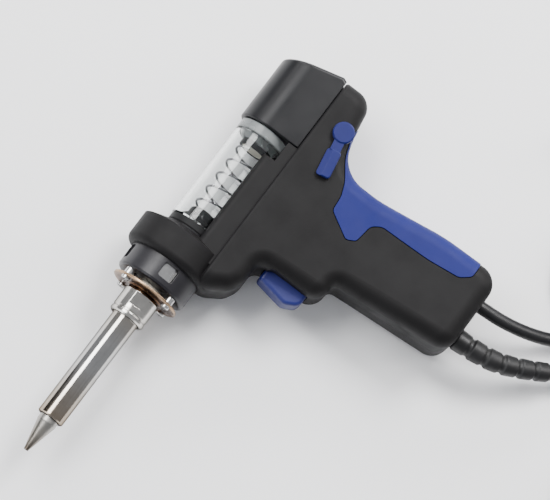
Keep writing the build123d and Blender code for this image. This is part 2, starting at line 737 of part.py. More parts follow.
def lathe_x(profile, at):
    """Turn (length, radius) points about a line along X through at."""
    return Pos(*at) * lathe(profile)


PLUG_AT = (4.0, -222.0, 9.0)


def plug_boot():
    profile = [(0, 0), (0, 4.0), (-12.0, 6.2), (-15.0, 6.2), (-15.0, 0)]
    boot = lathe_x(profile, PLUG_AT)
    for i in range(4):
        x = PLUG_AT[0] - 2.4 - 2.4 * i
        groove = Cylinder(9, 0.9) - Cylinder(3.6 + 0.3 * i, 1.2)
        boot -= Pos(x, PLUG_AT[1], PLUG_AT[2]) * Rot(0, 90, 0) * groove
    return boot


def plug_shell():
    profile = [(-15.05, 0), (-15.05, 6.8), (-16.0, 7.6), (-30.0, 7.6), (-30.0, 6.6), (-43.3, 6.6),
               (-43.3, 6.4), (-50.0, 6.4), (-50.0, 5.8), (-36.0, 5.8), (-36.0, 0)]
    return lathe_x(profile, PLUG_AT)


def coupling_ring():
    profile = [(-30.4, 6.66), (-30.4, 7.9), (-31.0, 8.5), (-42.4, 8.5), (-43.0, 7.9), (-43.0, 6.66)]
    ring = lathe_x(profile, PLUG_AT)
    for i in range(24):
        groove = Rot(15.0 * i, 0, 0) * Pos(-36.7, 0, 8.75) * Box(9.0, 0.9, 1.0)
        ring -= Pos(*PLUG_AT) * groove
    return ring


def plug_pins():
    insert = Pos(*PLUG_AT) * rod(-42.0, -36.05, 5.7)
    for i in range(5):
        aim = math.radians(72 * i + 18)
        insert += Pos(*PLUG_AT) * rod(-48.4, -41.9, 0.55, 3.5 * math.sin(aim), 3.5 * math.cos(aim))
    return insert


FITTING_AT = (153.0, -88.0, 7.4)


def hose_fitting():
    profile = [(0, 0), (0, 4.2), (2.0, 5.0), (7.0, 5.0), (7.6, 6.2), (9.0, 7.0), (17.0, 7.0), (18.0, 6.2),
               (18.6, 4.4), (27.0, 4.4), (28.0, 3.9), (28.0, 2.5), (6.0, 2.5), (6.0, 0)]
    fitting = lathe(profile)
    for i in range(18):
        fitting -= Rot(20.0 * i, 0, 0) * Pos(13.0, 0, 7.3) * Box(6.4, 1.0, 1.0)
    return Pos(*FITTING_AT) * Rot(0, 0, 90) * fitting


# ---------------------------------------------------------------------------
# Everything
# ---------------------------------------------------------------------------
def build():
    os.makedirs("parts", exist_ok=True)
    turned = [nozzle, heater_tube, retaining_nut, heater_flange, flange_screws, flange_spacers, heater_core,
              suction_tube, heat_shield, front_sleeve, front_holder, front_seal, filter_tube, solder_spring,
              filter_ring, paper_filter, rear_seal, rear_cap, rear_holder, cap_spring, vacuum_elbow, trigger,
              trigger_spring, switch_body, switch_plunger, lever_shaft, inner_hose, hose_joiner, heater_leads,
              switch_leads, supply_leads, terminal_board, cord_end, cord_clamp, housing_screws]
    for make in turned:
        save(make.__name__, make())
    save("lever_left", lever(1))
    save("lever_right", lever(-1))

    whole = housing() - screw_holes() - grip_pocket()
    save("housing_left", whole & block(80, 230, -140, 40, 0.02, 40))
    save("housing_right", whole & block(80, 230, -140, 40, -40, -0.02))
    left, right = grips()
    save("grip_left", left)
    save("grip_right", right)

    save("strain_relief", strain_relief(), in_row=True)
    save("power_cord", free_cord("power cord", CORD_D, CORD_ROUTE, CORD_TAIL), in_row=True)
    save("vacuum_hose", free_cord("vacuum hose", HOSE_D, HOSE_ROUTE, HOSE_TAIL), in_row=True)
    save("power_cord_coil", coil_ring(CORD_COIL_AT, CORD_COIL_R, CORD_D), in_row=True)
    save("vacuum_hose_coil", coil_ring(HOSE_COIL_AT, HOSE_COIL_R, HOSE_D), in_row=True)
    save("power_cord_tie", coil_tie(CORD_COIL_AT, CORD_COIL_R, CORD_D, 140), in_row=True)
    save("vacuum_hose_tie", coil_tie(HOSE_COIL_AT, HOSE_COIL_R, HOSE_D, -80), in_row=True)
    save("plug_boot", plug_boot(), in_row=True)
    save("plug_shell", plug_shell(), in_row=True)
    save("coupling_ring", coupling_ring(), in_row=True)
    save("plug_pins", plug_pins(), in_row=True)
    save("hose_fitting", hose_fitting(), in_row=True)


build()
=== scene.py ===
import json
import math

import bmesh
import bpy
from mathutils import Matrix, Vector


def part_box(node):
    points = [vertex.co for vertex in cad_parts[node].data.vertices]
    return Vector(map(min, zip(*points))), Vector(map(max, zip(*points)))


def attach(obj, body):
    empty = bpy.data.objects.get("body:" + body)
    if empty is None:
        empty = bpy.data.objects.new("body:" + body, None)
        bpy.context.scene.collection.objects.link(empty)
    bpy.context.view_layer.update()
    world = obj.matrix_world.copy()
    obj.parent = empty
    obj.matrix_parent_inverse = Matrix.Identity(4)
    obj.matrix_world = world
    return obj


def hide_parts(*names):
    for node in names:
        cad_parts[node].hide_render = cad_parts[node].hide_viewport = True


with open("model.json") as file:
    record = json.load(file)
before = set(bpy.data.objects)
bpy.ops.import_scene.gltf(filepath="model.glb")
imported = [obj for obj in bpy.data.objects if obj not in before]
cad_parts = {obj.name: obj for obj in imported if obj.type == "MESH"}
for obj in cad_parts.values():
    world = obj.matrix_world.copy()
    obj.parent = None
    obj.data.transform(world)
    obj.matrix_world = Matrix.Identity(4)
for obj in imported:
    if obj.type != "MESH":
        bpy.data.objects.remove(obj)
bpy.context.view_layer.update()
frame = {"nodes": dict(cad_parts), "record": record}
nodes = frame["nodes"]
MM = 0.001
barrel_low, barrel_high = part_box("heater_tube")
BARREL_Y = (barrel_low.y + barrel_high.y) / 2
BARREL_Z = (barrel_low.z + barrel_high.z) / 2


# ---------------------------------------------------------------------------
# Camera, floor and light
# ---------------------------------------------------------------------------
LEAN = math.radians(13.0)        # the view leans towards the nozzle from straight above
TURN = math.radians(53.0)        # the barrel points down and to the left in the picture
TARGET = Vector((0.0286, 0.0154, 0.0195))
VIEW_DISTANCE = 1.5
VIEW_WIDTH = 0.236
FLOOR_HALF = 3.0
FLOOR_Z = -0.0002


def view_axes():
    """The picture's right and up directions, and the one back to the camera."""
    along = Vector((math.cos(LEAN), 0.0, math.sin(LEAN)))
    across = Vector((0.0, 1.0, 0.0))
    right = math.cos(TURN) * along - math.sin(TURN) * across
    up = math.sin(TURN) * along + math.cos(TURN) * across
    return right, up, right.cross(up)


def add_camera():
    """Long lens at VIEW_DISTANCE, which takes in VIEW_WIDTH metres at the target."""
    right, up, back = view_axes()
    lens = bpy.data.cameras.new("camera")
    lens.lens = lens.sensor_width * VIEW_DISTANCE / VIEW_WIDTH
    lens.clip_start = 0.05
    camera = bpy.data.objects.new("camera", lens)
    turn = Matrix((right, up, back)).transposed().to_4x4()
    camera.matrix_world = Matrix.Translation(TARGET + back * VIEW_DISTANCE) @ turn
    bpy.context.scene.collection.objects.link(camera)
    bpy.context.scene.camera = camera


def add_light(name, offset, size, power, colour=(1.0, 1.0, 1.0)):
    """Rectangular softbox at an offset from the target, facing it."""
    data = bpy.data.lights.new(name, "AREA")
    data.shape = "RECTANGLE"
    data.size, data.size_y = size
    data.energy = power
    data.color = colour
    light = bpy.data.objects.new(name, data)
    place = Vector(offset)
    aim = place.to_track_quat("Z", "Y").to_matrix().to_4x4()
    light.matrix_world = Matrix.Translation(TARGET + place) @ aim
    bpy.context.scene.collection.objects.link(light)


def add_world():
    world = bpy.data.worlds.new("studio")
    bpy.context.scene.world = world
    world.use_nodes = True
    sky = world.node_tree.nodes["Background"]
    sky.inputs["Color"].default_value = (0.93, 0.95, 1.0, 1.0)
    sky.inputs["Strength"].default_value = 0.42


def add_flag(name, corners):
    """Dark panel outside the view, which gives the polished metal its dark streaks."""
    mesh = bpy.data.meshes.new(name)
    mesh.from_pydata(corners, [], [(0, 1, 2, 3)])
    mesh.materials.append(finish("flag_felt", (0.012, 0.012, 0.013), 0.95, tint=0.1))
    flag = bpy.data.objects.new(name, mesh)
    bpy.context.scene.collection.objects.link(flag)
    flag.visible_camera = False


def add_floor():
    corners = [(x * FLOOR_HALF, y * FLOOR_HALF, FLOOR_Z) for x, y in ((-1, -1), (1, -1), (1, 1), (-1, 1))]
    mesh = bpy.data.meshes.new("floor")
    mesh.from_pydata(corners, [], [(0, 1, 2, 3)])
    floor = bpy.data.objects.new("floor", mesh)
    bpy.context.scene.collection.objects.link(floor)
    mesh.materials.append(finish("floor_paper", (0.94, 0.94, 0.95), 0.7, tint=0.03, tint_scale=3.0,
                                 grain_scale=900.0, grain=0.02))


# ---------------------------------------------------------------------------
# Materials
# ---------------------------------------------------------------------------
def srgb(red, green, blue):
    """Linear colour of three 0-255 display values."""
    def linear(value):
        share = value / 255
        return share / 12.92 if share <= 0.04045 else ((share + 0.055) / 1.055) ** 2.4
    return linear(red), linear(green), linear(blue)


class Graph:
    """Short names for the nodes that the materials are built from."""

    def __init__(self, name):
        self.material = bpy.data.materials.new(name)
        self.material.use_nodes = True
        self.tree = self.material.node_tree
        self.shader = self.tree.nodes["Principled BSDF"]

    def add(self, kind, **inputs):
        node = self.tree.nodes.new(kind)
        for key, value in inputs.items():
            self.feed(node, key.replace("_", " "), value)
        return node

    def feed(self, node, socket, value):
        if isinstance(value, bpy.types.NodeSocket):
            self.tree.links.new(value, node.inputs[socket])
        else:
            node.inputs[socket].default_value = value

    def coords(self, stretch=(1.0, 1.0, 1.0)):
        place = self.add("ShaderNodeTexCoord").outputs["Object"]
        return self.add("ShaderNodeMapping", Vector=place, Scale=stretch).outputs["Vector"]

    def noise(self, scale, stretch=(1.0, 1.0, 1.0), detail=4.0, rough=0.55):
        node = self.add("ShaderNodeTexNoise", Vector=self.coords(stretch), Scale=scale, Detail=detail)
        node.inputs["Roughness"].default_value = rough
        return node.outputs["Fac"]

    def along_barrel(self):
        return self.add("ShaderNodeSeparateXYZ", Vector=self.coords()).outputs["X"]

    def axis_distance(self):
        """Distance from the barrel's axis."""
        spot = self.tree.nodes.new("ShaderNodeVectorMath")
        spot.operation = "MULTIPLY_ADD"
        self.tree.links.new(self.coords(), spot.inputs[0])
        spot.inputs[1].default_value = (0.0, 1.0, 1.0)
        spot.inputs[2].default_value = (0.0, -BARREL_Y, -BARREL_Z)
        length = self.tree.nodes.new("ShaderNodeVectorMath")
        length.operation = "LENGTH"
        self.tree.links.new(spot.outputs["Vector"], length.inputs[0])
        return length.outputs["Value"]

    def spread(self, value, low, high, bottom, top):
        """Value mapped from low and high to bottom and top."""
        node = self.add("ShaderNodeMapRange", Value=value)
        for socket, number in (("From Min", low), ("From Max", high), ("To Min", bottom), ("To Max", top)):
            node.inputs[socket].default_value = number
        return node.outputs["Result"]

    def mix(self, share, first, second):
        """Colour between two colours."""
        node = self.tree.nodes.new("ShaderNodeMix")
        node.data_type = "RGBA"
        for socket, value in (("Factor", share), ("A", first), ("B", second)):
            inputs = [i for i in node.inputs if i.name == socket and i.enabled]
            target = [i for i in inputs if socket == "Factor" or i.type == "RGBA"][0]
            if isinstance(value, bpy.types.NodeSocket):
                self.tree.links.new(value, target)
            elif socket == "Factor":
                target.default_value = value
            else:
                target.default_value = (*value, 1.0)
        return [o for o in node.outputs if o.type == "RGBA"][0]

    def maths(self, operation, first, second):
        """One sum or product of two values."""
        node = self.tree.nodes.new("ShaderNodeMath")
        node.operation = operation
        for i, value in enumerate((first, second)):
            if isinstance(value, bpy.types.NodeSocket):
                self.tree.links.new(value, node.inputs[i])
            else:
                node.inputs[i].default_value = value
        return node.outputs["Value"]

    def edges(self, radius):
        """1 on sharp outer edges, 0 on flat stretches, and the rounded normal."""
        bevel = self.add("ShaderNodeBevel", Radius=radius)
        bevel.samples = 6
        plain = self.add("ShaderNodeNewGeometry").outputs["Normal"]
        dot = self.tree.nodes.new("ShaderNodeVectorMath")
        dot.operation = "DOT_PRODUCT"
        self.tree.links.new(bevel.outputs["Normal"], dot.inputs[0])
        self.tree.links.new(plain, dot.inputs[1])
        return self.spread(dot.outputs["Value"], 0.995, 0.86, 0.0, 1.0), bevel.outputs["Normal"]

    def bump(self, height, distance, normal=None, strength=1.0):
        node = self.add("ShaderNodeBump", Height=height, Distance=distance, Strength=strength)
        if normal is not None:
            self.tree.links.new(normal, node.inputs["Normal"])
        return node.outputs["Normal"]


def scaled(colour, factor):
    return tuple(min(1.0, c * factor) for c in colour)


EDGE_ROUNDING = 0.35 * MM         # on moulded and painted edges
TURNED_ROUNDING = 0.3 * MM        # on turned metal edges


def set_sockets(g, sockets):
    for key, value in sockets.items():
        g.shader.inputs[key].default_value = value


def finish(name, colour, rough, metal=0.0, tint=0.12, tint_scale=35.0, rough_swing=0.08, grain_scale=2600.0,
           grain=0.35, edge=0.0, edge_colour=None, smudge=0.0, **sockets):
    """Layered finish: tint clouds, roughness clouds, fine grain, smudges and rubbed edges.

    grain is the relief's depth in millimetres.
    """
    g = Graph(name)
    clouds = g.spread(g.noise(tint_scale, detail=5.0), 0.3, 0.7, 0.0, 1.0)
    base = g.mix(clouds, scaled(colour, 1 - tint), scaled(colour, 1 + tint))
    swing = g.spread(g.noise(90.0, detail=6.0), 0.3, 0.7, rough - rough_swing, rough + rough_swing)
    normal = None
    if edge:
        mask, normal = g.edges(EDGE_ROUNDING)
        patchy = g.spread(g.noise(420.0, detail=6.0), 0.36, 0.62, 0.15, 1.0)
        rubbed = g.maths("MULTIPLY", g.maths("MULTIPLY", mask, patchy), edge)
        base = g.mix(rubbed, base, edge_colour or scaled(colour, 2.2))
    if smudge:
        marks = g.spread(g.noise(28.0, (1.0, 2.4, 1.0), detail=8.0, rough=0.7), 0.52, 0.68, 0.0, smudge)
        swing = g.maths("ADD", swing, marks)
    g.feed(g.shader, "Base Color", base)
    g.feed(g.shader, "Roughness", swing)
    g.feed(g.shader, "Normal", g.bump(g.noise(grain_scale, detail=3.0), grain * MM, normal, 0.35))
    g.shader.inputs["Metallic"].default_value = metal
    set_sockets(g, sockets)
    return g.material


def heat_tint_and_shade(g, base, cloud, way, start, end, tones):
    """Colour multiplied by tones that run along the barrel or out from its axis: a tint from heating, and on
    the flange painted shade as well.
    """
    place = g.axis_distance() if way == "radial" else g.along_barrel()
    wobble = g.spread(cloud, 0.3, 0.7, -HEAT_WOBBLE, HEAT_WOBBLE)
    ramp = g.tree.nodes.new("ShaderNodeValToRGB")
    ramp.color_ramp.elements[0].color = (*tones[0], 1.0)
    ramp.color_ramp.elements[1].color = (*tones[-1], 1.0)
    for i, tone in enumerate(tones[1:-1], 1):
        ramp.color_ramp.elements.new(i / (len(tones) - 1)).color = (*tone, 1.0)
    g.feed(ramp, "Fac", g.spread(g.maths("ADD", place, wobble), start, end, 0.0, 1.0))
    multiply = g.tree.nodes.new("ShaderNodeMix")
    multiply.data_type = "RGBA"
    multiply.blend_type = "MULTIPLY"
    multiply.inputs["Factor"].default_value = 1.0
    colours = [i for i in multiply.inputs if i.type == "RGBA"]
    g.tree.links.new(base, colours[0])
    g.tree.links.new(ramp.outputs["Color"], colours[1])
    return [o for o in multiply.outputs if o.type == "RGBA"][0]


def turned_metal(name, colour, rough, rings=0.02, heat=None, edge=0.5, **sockets):
    """Metal turned about the barrel: fine rings, streaks along it that darken the colour as a painted
    reflection, and, where given, a tint: from heating along the nozzle and tube, painted shade round the
    flange's nut.

    rings is the relief's depth in millimetres.
    """
    g = Graph(name)
    ring = g.noise(1.0, (5200.0, 30.0, 30.0), detail=2.0)
    polish_and_reflection_streak = g.noise(1.0, (18.0, 420.0, 420.0), detail=4.0)
    cloud = g.noise(60.0, detail=6.0, rough=0.65)
    base = g.mix(g.spread(cloud, 0.35, 0.7, 0.0, 1.0), scaled(colour, 0.86), scaled(colour, 1.05))
    # painted reflection: lengthwise streaks take the colour down to half, standing in for dark surroundings
    # reflected in the polished metal; the same streaks also raise the roughness
    base = g.mix(g.spread(polish_and_reflection_streak, 0.55, 0.78, 0.0, 0.35), base, scaled(colour, 0.5))
    if heat:
        base = heat_tint_and_shade(g, base, cloud, *heat)
    mask, normal = g.edges(TURNED_ROUNDING)
    base = g.mix(g.maths("MULTIPLY", mask, edge), base, scaled(colour, 1.25))
    g.feed(g.shader, "Base Color", base)
    rough_map = g.maths("ADD", g.spread(cloud, 0.3, 0.75, rough * 0.6, rough * 1.5),
                        g.spread(polish_and_reflection_streak, 0.55, 0.8, 0.0, rough * 0.6))
    g.feed(g.shader, "Roughness", rough_map)
    g.feed(g.shader, "Normal", g.bump(ring, rings * MM, normal, 0.5))
    g.shader.inputs["Metallic"].default_value = 1.0
    set_sockets(g, sockets)
    return g.material


def clear_glass(name):
    """Drawn glass tube with a thin film on it."""
    g = Graph(name)
    g.shader.inputs["Base Color"].default_value = (0.975, 0.99, 0.985, 1.0)
    g.shader.inputs["Transmission Weight"].default_value = 1.0
    g.shader.inputs["IOR"].default_value = 1.47
    film = g.noise(70.0, (1.0, 2.0, 2.0), detail=7.0, rough=0.7)
    g.feed(g.shader, "Roughness", g.spread(film, 0.5, 0.75, 0.008, 0.09))
    drawn = g.noise(1.0, (40.0, 260.0, 260.0), detail=2.0)
    g.feed(g.shader, "Normal", g.bump(drawn, 0.00003, None, 0.3))
    return g.material


def silicone(name):
    """Cloudy moulded rubber that lets some light through."""
    g = Graph(name)
    cloud = g.noise(60.0, detail=3.0)
    share = g.spread(cloud, 0.3, 0.7, 0, 1)
    g.feed(g.shader, "Base Color", g.mix(share, srgb(138, 143, 144), srgb(152, 157, 157)))
    g.shader.inputs["Transmission Weight"].default_value = 0.55
    g.feed(g.shader, "Roughness", g.spread(cloud, 0.3, 0.7, 0.16, 0.32))
    g.feed(g.shader, "Normal", g.bump(g.noise(2200.0), 0.00003, None, 0.4))
    return g.material


BLUE = srgb(24, 30, 93)
WHITE = (1, 1, 1)
PAINTED_DARK_RIM = {"Specular Tint": (0.1, 0.1, 0.105, 1.0)}    # painted dark rim: the metal's reflection is tinted nearly black at a grazing angle, which paints dark reflections along its outline
DULL = {"Specular IOR Level": 0.18}
SATIN = {"Specular IOR Level": 0.38}
SLEEVE_GLOSS = {"Coat Weight": 0.12, "Coat Roughness": 0.3, "Specular IOR Level": 0.35}
CAP_GLOSS = {"Specular IOR Level": 0.27}

TIP_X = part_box("nozzle")[0].x
NOZZLE_HEAT = ("along", TIP_X, TIP_X + 0.017, [srgb(150, 140, 128), srgb(232, 228, 222), WHITE])
TUBE_HEAT = ("along", TIP_X + 0.015, TIP_X + 0.072,
             [srgb(214, 196, 176), srgb(232, 224, 214), WHITE, WHITE, srgb(240, 232, 220)])
# Flange tones, partly a tint from heating and partly painted shade: the dark brown band just outside the nut
# paints the shade there, with a painted brass-brown reflection; the rim keeps the steel's colour.
FLANGE_HEAT_AND_SHADE = ("radial", 0.0072, 0.0162,
               [srgb(112, 84, 62), srgb(92, 64, 46), srgb(120, 88, 66), srgb(232, 214, 198)])
HEAT_WOBBLE = 0.0018              # the tint's edges wander by this much


def turned_metals():
    return {
        "nozzle_metal": dict(colour=srgb(172, 170, 166), rough=0.34, rings=0.05, heat=NOZZLE_HEAT),
        "tube_chrome": dict(colour=srgb(200, 199, 197), rough=0.11, rings=0.004, heat=TUBE_HEAT, **PAINTED_DARK_RIM),
        "nut_nickel": dict(colour=srgb(214, 211, 205), rough=0.2, rings=0.01, **PAINTED_DARK_RIM),
        "tinted_steel": dict(colour=srgb(190, 172, 150), rough=0.3, rings=0.03, heat=FLANGE_HEAT_AND_SHADE),
        "bright_steel": dict(colour=srgb(222, 221, 219), rough=0.18, rings=0.01, **PAINTED_DARK_RIM),
        "plug_nickel": dict(colour=srgb(200, 198, 192), rough=0.24, rings=0.015),
    }


def small_metals():
    return {
        "spring_steel": dict(colour=srgb(122, 122, 124), rough=0.3, metal=1.0, grain=0.02),
        "brass_parts": dict(colour=srgb(196, 160, 92), rough=0.3, metal=1.0, grain=0.02),
        "screw_black": dict(colour=srgb(52, 52, 54), rough=0.36, metal=0.9, grain=0.03, edge=0.6),
    }


def black_mouldings():
    return {
        "sleeve_black": dict(colour=srgb(25, 24, 28), rough=0.36, grain=0.04, edge=0.35, smudge=0.1,
                             **SLEEVE_GLOSS),
        "holder_black": dict(colour=srgb(20, 20, 21), rough=0.42, grain=0.05, edge=0.2, **DULL),
        "seal_black": dict(colour=srgb(20, 20, 21), rough=0.55, grain=0.05, edge=0.15, **DULL),
        "cap_black": dict(colour=srgb(13, 13, 16), rough=0.34, rough_swing=0.04, tint=0.05, grain=0.008,
                          grain_scale=1900.0, edge=0.3, **CAP_GLOSS),
        "switch_black": dict(colour=srgb(36, 36, 38), rough=0.45, grain=0.05),
        "housing_black": dict(colour=srgb(15, 14, 15), rough=0.58, grain=0.07, grain_scale=1700.0,
                              edge=0.28, **DULL),
        "fitting_black": dict(colour=srgb(30, 30, 32), rough=0.3, grain=0.03, edge=0.3),
        "plug_insert": dict(colour=srgb(46, 46, 48), rough=0.5, grain=0.04, edge=0.2),
    }


def blue_mouldings():
    return {
        "trigger_blue": dict(colour=BLUE, rough=0.42, grain=0.03, edge=0.3, edge_colour=srgb(70, 84, 160),
                             smudge=0.08, **SATIN),
        # painted shade: the lever's blue is the trigger's blue darkened to 0.82, and its edge colour is
        # darker too
        "lever_blue": dict(colour=scaled(BLUE, 0.82), rough=0.42, grain=0.03, edge=0.35,
                           edge_colour=srgb(64, 78, 150), smudge=0.08, **DULL),
        "grip_blue": dict(colour=BLUE, rough=0.6, grain=0.08, grain_scale=1300.0, edge=0.25,
                          edge_colour=srgb(60, 74, 150), smudge=0.08, **DULL),
    }


def cord_rubbers():
    return {
        "hose_black": dict(colour=srgb(19, 19, 21), rough=0.42, grain=0.03, smudge=0.08, **SATIN),
        "cord_black": dict(colour=srgb(19, 19, 20), rough=0.48, grain=0.05, grain_scale=1500.0,
                           smudge=0.08, **SATIN),
        "boot_black": dict(colour=srgb(21, 21, 22), rough=0.48, grain=0.05, edge=0.2, smudge=0.08, **SATIN),
        "tie_black": dict(colour=srgb(24, 24, 25), rough=0.4, grain=0.03, edge=0.25),
    }


def inner_parts():
    return {
        "ceramic": dict(colour=srgb(232, 228, 216), rough=0.7, grain=0.06),
        "filter_paper": dict(colour=srgb(228, 224, 208), rough=0.9, grain=0.2, grain_scale=1400.0),
        "board_green": dict(colour=srgb(30, 92, 54), rough=0.35, grain=0.02, edge=0.2),
        "lead_red": dict(colour=srgb(166, 30, 28), rough=0.4, grain=0.02),
        "lead_white": dict(colour=srgb(226, 222, 208), rough=0.7, grain=0.12, grain_scale=2400.0),
    }


def make_materials():
    """One material for each of the record's slots."""
    made = {name: turned_metal(name, **look) for name, look in turned_metals().items()}
    for looks in (small_metals(), black_mouldings(), blue_mouldings(), cord_rubbers(), inner_parts()):
        made.update({name: finish(name, **look) for name, look in looks.items()})
    made["clear_glass"] = clear_glass("clear_glass")
    made["clear_silicone"] = silicone("clear_silicone")
    return made


def paint_frame(materials):
    """Give every CAD node the material of its slot in the record."""
    for part in frame["record"]["subparts"]:
        node = nodes[part["node"]]
        for holder in node.material_slots:
            holder.material = materials[part["material_slot"]]
        if not node.material_slots:
            node.data.materials.append(materials[part["material_slot"]])


# ---------------------------------------------------------------------------
# Cords. Routes in millimetres, in the row frame.
# ---------------------------------------------------------------------------
BOOT_ROUTE = [(45.4, -69.6, 19.5), (45.8, -83.0, 19.3), (51.0, -98.0, 16.6), (60.2, -111.5, 11.4)]
CORD_ROUTE = [(60.2, -111.5, 11.4), (67.2, -121.8, 7.4), (72.4, -135.0, 4.0), (74.4, -152.0, 3.4),
              (74.6, -170.0, 4.0), (74.0, -186.0, 4.0)]
CORD_TAIL = [(20.0, -222.6, 9.8), (4.0, -222.0, 9.0)]
HOSE_ROUTE = [(62.9, -57.45, 19.5), (63.0, -74.0, 19.3), (65.6, -87.5, 16.0), (70.6, -99.5, 9.8),
              (76.6, -109.4, 5.2), (81.4, -119.6, 3.8), (84.0, -131.0, 4.0)]
HOSE_TAIL = [(153.4, -106.0, 9.6), (153.0, -88.0, 7.4)]
CORD_D = 6.0
CORD_COIL_AT = (35.0, -186.0)
HOSE_COIL_AT = (121.0, -123.0)
CORD_COIL_R = 33.0                # middle of the turns
HOSE_COIL_R = 31.5
COIL_FLOOR = 1.0                  # underside of the coils
LOW = COIL_FLOOR + CORD_D / 2     # heights of the coils' two layers
HIGH = LOW + CORD_D
COIL_STEPS = 18                   # route points in each turn
CORD_TURNS = 5.22
CROSS_FROM = 0.84                 # share of a turn after which the cord crosses to the next ring


def coil_points(centre, start, way, rings, turns):
    """Turns of a coil after the route's last point, each ring a (radius, height)."""
    made = []
    steps = round(turns * COIL_STEPS)
    stretch = 2 / (1 + math.cos(math.pi / COIL_STEPS))
    for i in range(1, steps + 1):
        turn = turns * i / steps
        ring = min(int(turn), len(rings) - 1)
        part = turn - ring
        after = rings[min(ring + 1, len(rings) - 1)]
        share = min(max((part - CROSS_FROM) / (1 - CROSS_FROM), 0.0), 1.0)
        share = share * share * (3 - 2 * share)
        radius = (rings[ring][0] + (after[0] - rings[ring][0]) * share) * stretch
        height = rings[ring][1] + (after[1] - rings[ring][1]) * share
        angle = start + way * 2 * math.pi * turn
        made.append((centre[0] + radius * math.cos(angle), centre[1] + radius * math.sin(angle), height))
    return made


def power_cord_points():
    outer, inner = CORD_COIL_R + CORD_D, CORD_COIL_R - CORD_D
    rings = [(outer, LOW), (CORD_COIL_R, LOW), (inner, LOW), (inner, HIGH), (CORD_COIL_R, HIGH), (36.5, HIGH)]
    return CORD_ROUTE + coil_points(CORD_COIL_AT, 0.0, -1, rings, CORD_TURNS) + CORD_TAIL


def vacuum_hose_points():
    start = math.atan2(HOSE_ROUTE[-1][1] - HOSE_COIL_AT[1], HOSE_ROUTE[-1][0] - HOSE_COIL_AT[0])
    outer, inner = HOSE_COIL_R + CORD_D, HOSE_COIL_R - CORD_D
    rings = [(outer, LOW), (HOSE_COIL_R, LOW), (inner, LOW), (inner, HIGH), (HOSE_COIL_R, HIGH), (36.5, HIGH)]
    turns = 5.0 - start / (2 * math.pi) - 0.02
    return HOSE_ROUTE + coil_points(HOSE_COIL_AT, start, 1, rings, turns) + HOSE_TAIL


def smooth_curve(name, points, radius):
    """Curve of one NURBS spline through a route, with a round section."""
    data = bpy.data.curves.new(name, "CURVE")
    data.dimensions = "3D"
    spline = data.splines.new("NURBS")
    spline.points.add(len(points) - 1)
    for place, point in zip(points, spline.points):
        point.co = (*(MM * value for value in place), 1.0)
    spline.order_u = 3
    spline.use_endpoint_u = True
    spline.resolution_u = 6
    data.bevel_depth = radius
    data.bevel_resolution = 6
    data.use_fill_caps = radius > 0
    curve = bpy.data.objects.new(name, data)
    bpy.context.scene.collection.objects.link(curve)
    return curve


def spline_points(name, points):
    """The smooth line of a route, as points in metres."""
    guide = smooth_curve(name, points, 0.0)
    bpy.context.view_layer.update()
    line = bpy.data.meshes.new_from_object(guide)
    made = [vertex.co.copy() for vertex in line.vertices]
    bpy.data.objects.remove(guide)
    return made


def lead(name, points, slot, replaced, materials):
    """Free cord along its route, which leaves the object at the first point."""
    cord = smooth_curve(name, points, CORD_D / 2 * MM)
    cord.data.materials.append(materials[slot])
    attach(cord, "gun")
    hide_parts(*replaced)


# ---------------------------------------------------------------------------
# Mesh pieces
# ---------------------------------------------------------------------------
def new_piece(name, mesh, slot, materials, replaced):
    """Smooth-shaded mesh on the gun, in place of a CAD node."""
    mesh.materials.append(materials[slot])
    for face in mesh.polygons:
        face.use_smooth = True
    piece = bpy.data.objects.new(name, mesh)
    bpy.context.scene.collection.objects.link(piece)
    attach(piece, "gun")
    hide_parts(replaced)
    return piece


def swept_mesh(name, line, radius_at, step, segments=32):
    """Round mesh along a line, whose radius changes with the distance from its start."""
    lengths = [0.0]
    for a, b in zip(line, line[1:]):
        lengths.append(lengths[-1] + (b - a).length)
    total = lengths[-1]
    count = round(total / step)
    mesh = bpy.data.meshes.new(name)
    verts, faces = [], []
    side = Vector((1.0, 0.0, 0.0))
    at = 0
    for i in range(count + 1):
        distance = total * i / count
        while at < len(line) - 2 and lengths[at + 1] < distance:
            at += 1
        share = (distance - lengths[at]) / (lengths[at + 1] - lengths[at])
        centre = line[at].lerp(line[at + 1], share)
        ahead = (line[at + 1] - line[at]).normalized()
        if share > 0.5 and at < len(line) - 2:
            ahead = ahead.lerp((line[at + 2] - line[at + 1]).normalized(), share - 0.5).normalized()
        side = (side - ahead * side.dot(ahead)).normalized()
        other = ahead.cross(side)
        radius = radius_at(distance, total)
        for k in range(segments):
            angle = 2 * math.pi * k / segments
            verts.append(centre + radius * (math.cos(angle) * side + math.sin(angle) * other))
    for i in range(count):
        for k in range(segments):
            a, b = i * segments + k, i * segments + (k + 1) % segments
            faces.append((a, b, b + segments, a + segments))
    faces.append(tuple(reversed(range(segments))))
    faces.append(tuple(count * segments + k for k in range(segments)))
    mesh.from_pydata(verts, [], faces)
    return mesh


BOOT_RIBS = 6
BOOT_START_R = 5.05
BOOT_TAPER = 0.75
BOOT_GROOVE = 0.75                # depth of the grooves between the ribs
RIB_SLOPE = 0.22                  # each rib is this much thicker at its start than at its end


def boot_radius(distance, total):
    """Tapered boot of broad ribs with narrow grooves between them."""
    share = distance / total
    crest = BOOT_START_R - BOOT_TAPER * share
    phase = share * BOOT_RIBS % 1.0
    rise = min(max(7.0 * (0.5 - abs(phase - 0.5)) - 0.35, 0.0), 1.0)
    rise = rise * rise * (3 - 2 * rise)
    return MM * (crest - BOOT_GROOVE * (1 - rise) + RIB_SLOPE * (0.5 - phase) * rise)


def boot(materials):
    """Strain relief, which starts a little inside the butt."""
    line = spline_points("boot_guide", BOOT_ROUTE)
    start = line[0] + Vector((0.0, 0.0008, 0.0))
    mesh = swept_mesh("cord_boot", [start, *line], boot_radius, 0.0003)
    return new_piece("cord_boot", mesh, "boot_black", materials, "strain_relief")


